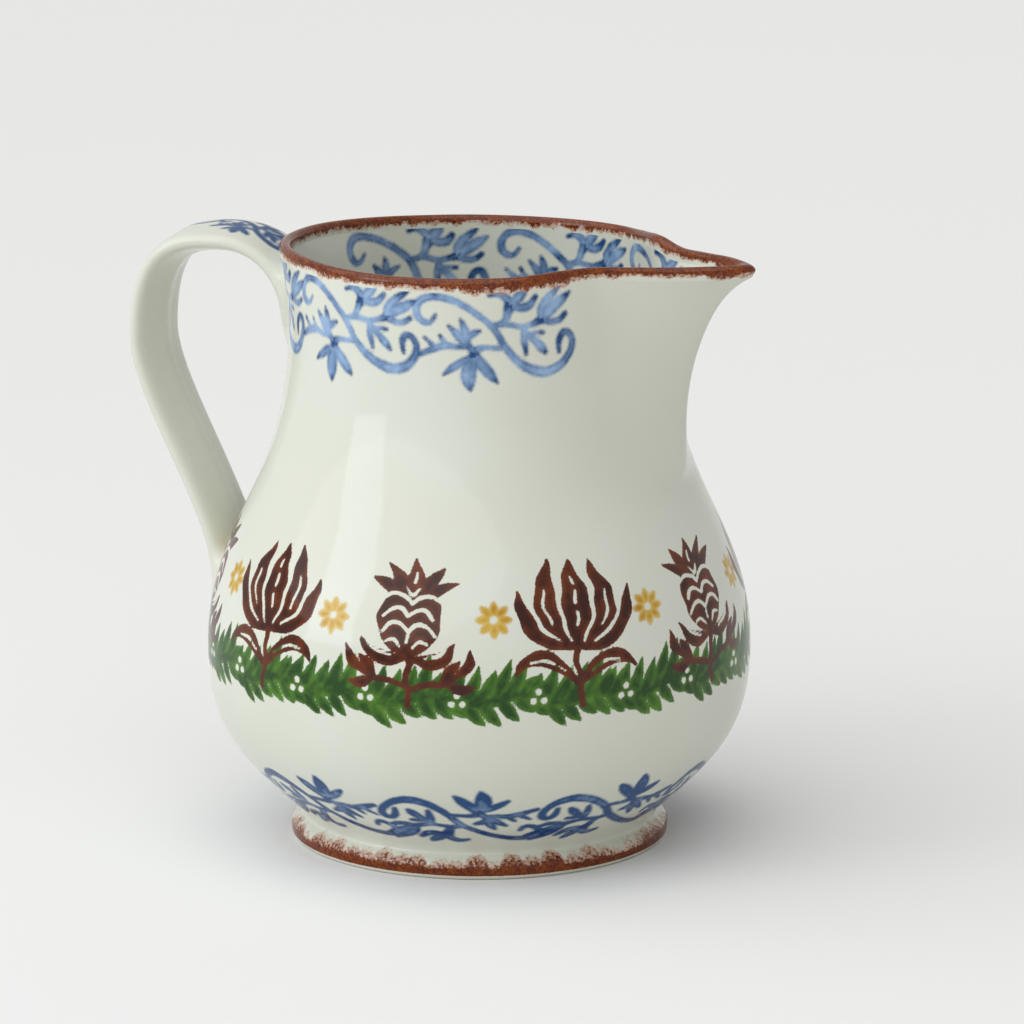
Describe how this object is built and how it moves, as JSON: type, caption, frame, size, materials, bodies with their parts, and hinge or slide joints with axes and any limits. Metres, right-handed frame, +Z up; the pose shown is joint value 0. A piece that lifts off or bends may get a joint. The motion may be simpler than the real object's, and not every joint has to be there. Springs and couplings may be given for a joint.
{
  "type": "glazed earthenware pitcher",
  "caption": "Round-bellied glazed pitcher on a low foot ring, with a wide neck, a beak spout and a strap handle, for pouring milk, water or juice.",
  "frame": {"origin": "centre of the foot ring, on the plane that the pitcher stands on", "axes": "+Z up along the axis of the bowl, +X towards the tip of the spout, with the handle on the -X side"},
  "size_m": [0.1659, 0.136, 0.1507],
  "materials": {
    "cream_glaze": "clear glossy glaze over cream earthenware, with underglaze painting",
    "brown_edge": "clear glossy glaze over brown underglaze colour put on with a sponge"
  },
  "bodies": {
    "root": {"foot_ring": "brown_edge", "base_floor": "cream_glaze", "belly_wall": "cream_glaze", "shoulder_wall": "cream_glaze", "neck_collar": "cream_glaze", "spout": "cream_glaze", "rim_lip": "brown_edge", "handle_strap": "cream_glaze", "upper_handle_joint": "cream_glaze", "lower_handle_joint": "cream_glaze"}
  },
  "joints": []
}
